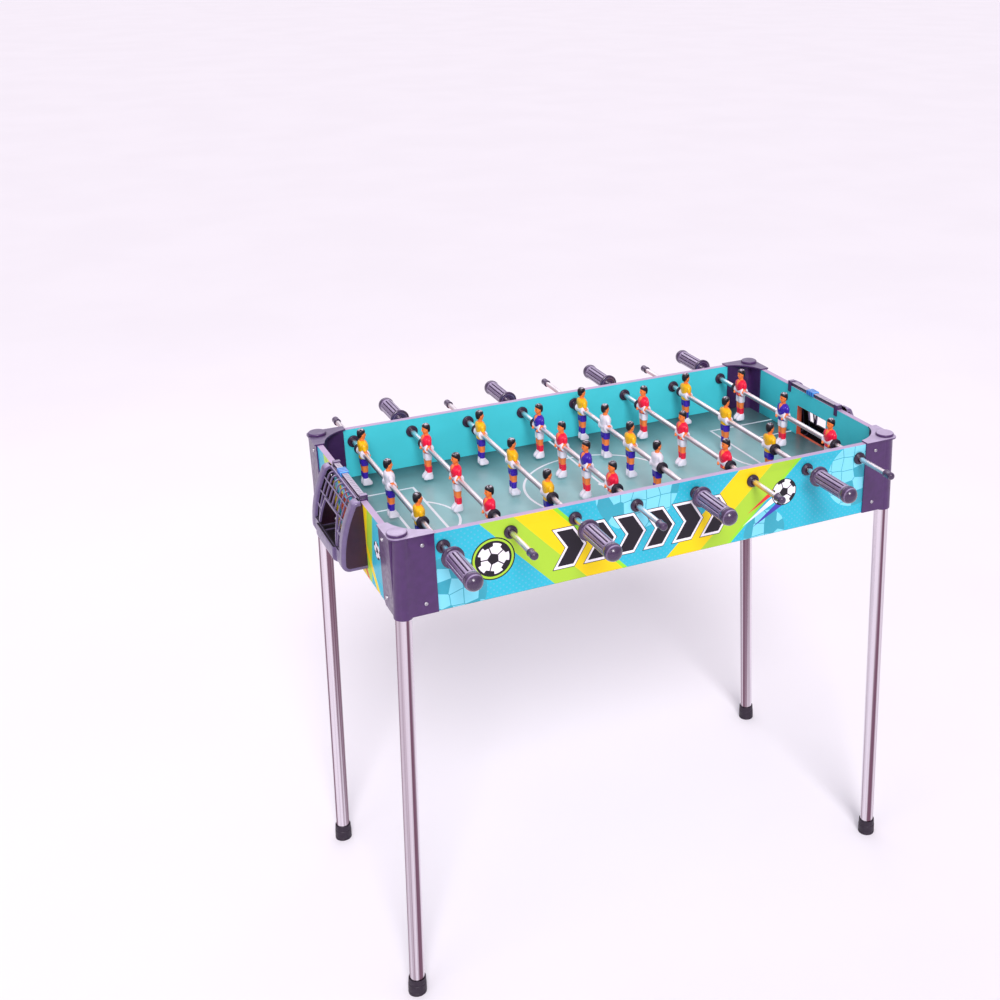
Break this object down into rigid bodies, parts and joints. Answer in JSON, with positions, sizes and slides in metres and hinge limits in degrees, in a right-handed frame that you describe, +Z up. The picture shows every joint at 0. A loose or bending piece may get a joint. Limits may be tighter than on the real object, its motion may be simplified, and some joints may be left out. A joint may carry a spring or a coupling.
{
  "type": "foosball table",
  "caption": "Table football game: walled pitch on tubular legs, sliding and spinning player rods with handles, end goals with ball boxes, and bead score bars.",
  "frame": {"origin": "on the floor under the middle of the playing field", "axes": "+X along the table towards the right-hand end, +Y across it away from the player at the front, +Z up"},
  "size_m": [0.98, 0.781, 0.8615],
  "materials": {
    "printed_board": "printed foil on fibreboard, satin",
    "pitch_board": "lacquered grey-green print with white lines",
    "black_moulding": "moulded, fine grain, softly glossy",
    "chromed_leg": "bright plated steel tube",
    "foot_moulding": "moulded soft black",
    "bushing_plastic": "moulded nylon",
    "score_bar_plastic": "moulded with printed marks",
    "zinc_screw": "zinc plated",
    "bead_plastic": "moulded, glossy",
    "chromed_rod": "polished plated steel tube",
    "handle_plastic": "moulded, ribbed grip",
    "soft_black_plastic": "soft moulded thimble",
    "figure_yellow_team": "painted moulded plastic",
    "figure_red_team": "painted moulded plastic",
    "bumper_rubber": "moulded rubber"
  },
  "bodies": {
    "cabinet": {"panel_front": "printed_board", "panel_back": "printed_board", "panel_left": "printed_board", "panel_right": "printed_board", "playfield": "pitch_board", "corner_bracket_front_left": "black_moulding", "corner_bracket_front_right": "black_moulding", "corner_bracket_back_left": "black_moulding", "corner_bracket_back_right": "black_moulding", "corner_caps": "black_moulding", "legs": "chromed_leg", "leg_feet": "foot_moulding", "goal_box_left": "black_moulding", "goal_box_right": "black_moulding", "rod_bushings": "bushing_plastic", "score_bars": "score_bar_plastic", "score_bar_holders": "black_moulding", "board_screws": "zinc_screw"},
    "bead_left": {"score_bead_left": "bead_plastic"},
    "bead_right": {"score_bead_right": "bead_plastic"},
    "rod_1_slide": {"rod_1_bumpers": "bumper_rubber"},
    "rod_1": {"rod_1_tube": "chromed_rod", "rod_1_handle": "handle_plastic", "rod_1_end_cap": "soft_black_plastic", "rod_1_figures": "figure_yellow_team"},
    "rod_2_slide": {"rod_2_bumpers": "bumper_rubber"},
    "rod_2": {"rod_2_tube": "chromed_rod", "rod_2_handle": "handle_plastic", "rod_2_end_cap": "soft_black_plastic", "rod_2_figures": "figure_red_team"},
    "rod_3_slide": {"rod_3_bumpers": "bumper_rubber"},
    "rod_3": {"rod_3_tube": "chromed_rod", "rod_3_handle": "handle_plastic", "rod_3_end_cap": "soft_black_plastic", "rod_3_figures": "figure_yellow_team"},
    "rod_4_slide": {"rod_4_bumpers": "bumper_rubber"},
    "rod_4": {"rod_4_tube": "chromed_rod", "rod_4_handle": "handle_plastic", "rod_4_end_cap": "soft_black_plastic", "rod_4_figures": "figure_red_team"},
    "rod_5_slide": {"rod_5_bumpers": "bumper_rubber"},
    "rod_5": {"rod_5_tube": "chromed_rod", "rod_5_handle": "handle_plastic", "rod_5_end_cap": "soft_black_plastic", "rod_5_figures": "figure_yellow_team"},
    "rod_6_slide": {"rod_6_bumpers": "bumper_rubber"},
    "rod_6": {"rod_6_tube": "chromed_rod", "rod_6_handle": "handle_plastic", "rod_6_end_cap": "soft_black_plastic", "rod_6_figures": "figure_red_team"},
    "rod_7_slide": {"rod_7_bumpers": "bumper_rubber"},
    "rod_7": {"rod_7_tube": "chromed_rod", "rod_7_handle": "handle_plastic", "rod_7_end_cap": "soft_black_plastic", "rod_7_figures": "figure_yellow_team"},
    "rod_8_slide": {"rod_8_bumpers": "bumper_rubber"},
    "rod_8": {"rod_8_tube": "chromed_rod", "rod_8_handle": "handle_plastic", "rod_8_end_cap": "soft_black_plastic", "rod_8_figures": "figure_red_team"}
  },
  "joints": [
    {"name": "rod_1_push", "type": "slide", "parent": "cabinet", "child": "rod_1_slide", "axis": [0, 1, 0], "range_m": [-0.073, 0.033]},
    {"name": "rod_1_spin", "type": "hinge", "parent": "rod_1_slide", "child": "rod_1", "pos_m": [-0.371, 0, 0.819], "axis": [0, 1, 0], "continuous": true},
    {"name": "rod_2_push", "type": "slide", "parent": "cabinet", "child": "rod_2_slide", "axis": [0, 1, 0], "range_m": [-0.048, 0.058]},
    {"name": "rod_2_spin", "type": "hinge", "parent": "rod_2_slide", "child": "rod_2", "pos_m": [-0.265, 0, 0.819], "axis": [0, 1, 0], "continuous": true},
    {"name": "rod_3_push", "type": "slide", "parent": "cabinet", "child": "rod_3_slide", "axis": [0, 1, 0], "range_m": [-0.067, 0.039]},
    {"name": "rod_3_spin", "type": "hinge", "parent": "rod_3_slide", "child": "rod_3", "pos_m": [-0.159, 0, 0.819], "axis": [0, 1, 0], "continuous": true},
    {"name": "rod_4_push", "type": "slide", "parent": "cabinet", "child": "rod_4_slide", "axis": [0, 1, 0], "range_m": [-0.05, 0.056]},
    {"name": "rod_4_spin", "type": "hinge", "parent": "rod_4_slide", "child": "rod_4", "pos_m": [-0.053, 0, 0.819], "axis": [0, 1, 0], "continuous": true},
    {"name": "rod_5_push", "type": "slide", "parent": "cabinet", "child": "rod_5_slide", "axis": [0, 1, 0], "range_m": [-0.096, 0.01]},
    {"name": "rod_5_spin", "type": "hinge", "parent": "rod_5_slide", "child": "rod_5", "pos_m": [0.053, 0, 0.819], "axis": [0, 1, 0], "continuous": true},
    {"name": "rod_6_push", "type": "slide", "parent": "cabinet", "child": "rod_6_slide", "axis": [0, 1, 0], "range_m": [-0.051, 0.055]},
    {"name": "rod_6_spin", "type": "hinge", "parent": "rod_6_slide", "child": "rod_6", "pos_m": [0.159, 0, 0.819], "axis": [0, 1, 0], "continuous": true},
    {"name": "rod_7_push", "type": "slide", "parent": "cabinet", "child": "rod_7_slide", "axis": [0, 1, 0], "range_m": [-0.08, 0.026]},
    {"name": "rod_7_spin", "type": "hinge", "parent": "rod_7_slide", "child": "rod_7", "pos_m": [0.265, 0, 0.819], "axis": [0, 1, 0], "continuous": true},
    {"name": "rod_8_push", "type": "slide", "parent": "cabinet", "child": "rod_8_slide", "axis": [0, 1, 0], "range_m": [-0.051, 0.055]},
    {"name": "rod_8_spin", "type": "hinge", "parent": "rod_8_slide", "child": "rod_8", "pos_m": [0.371, 0, 0.819], "axis": [0, 1, 0], "continuous": true},
    {"name": "score_bead_left_slide", "type": "slide", "parent": "cabinet", "child": "bead_left", "axis": [0, 1, 0], "range_m": [-0.0935, 0.0255]},
    {"name": "score_bead_right_slide", "type": "slide", "parent": "cabinet", "child": "bead_right", "axis": [0, 1, 0], "range_m": [-0.0665, 0.0525]}
  ]
}
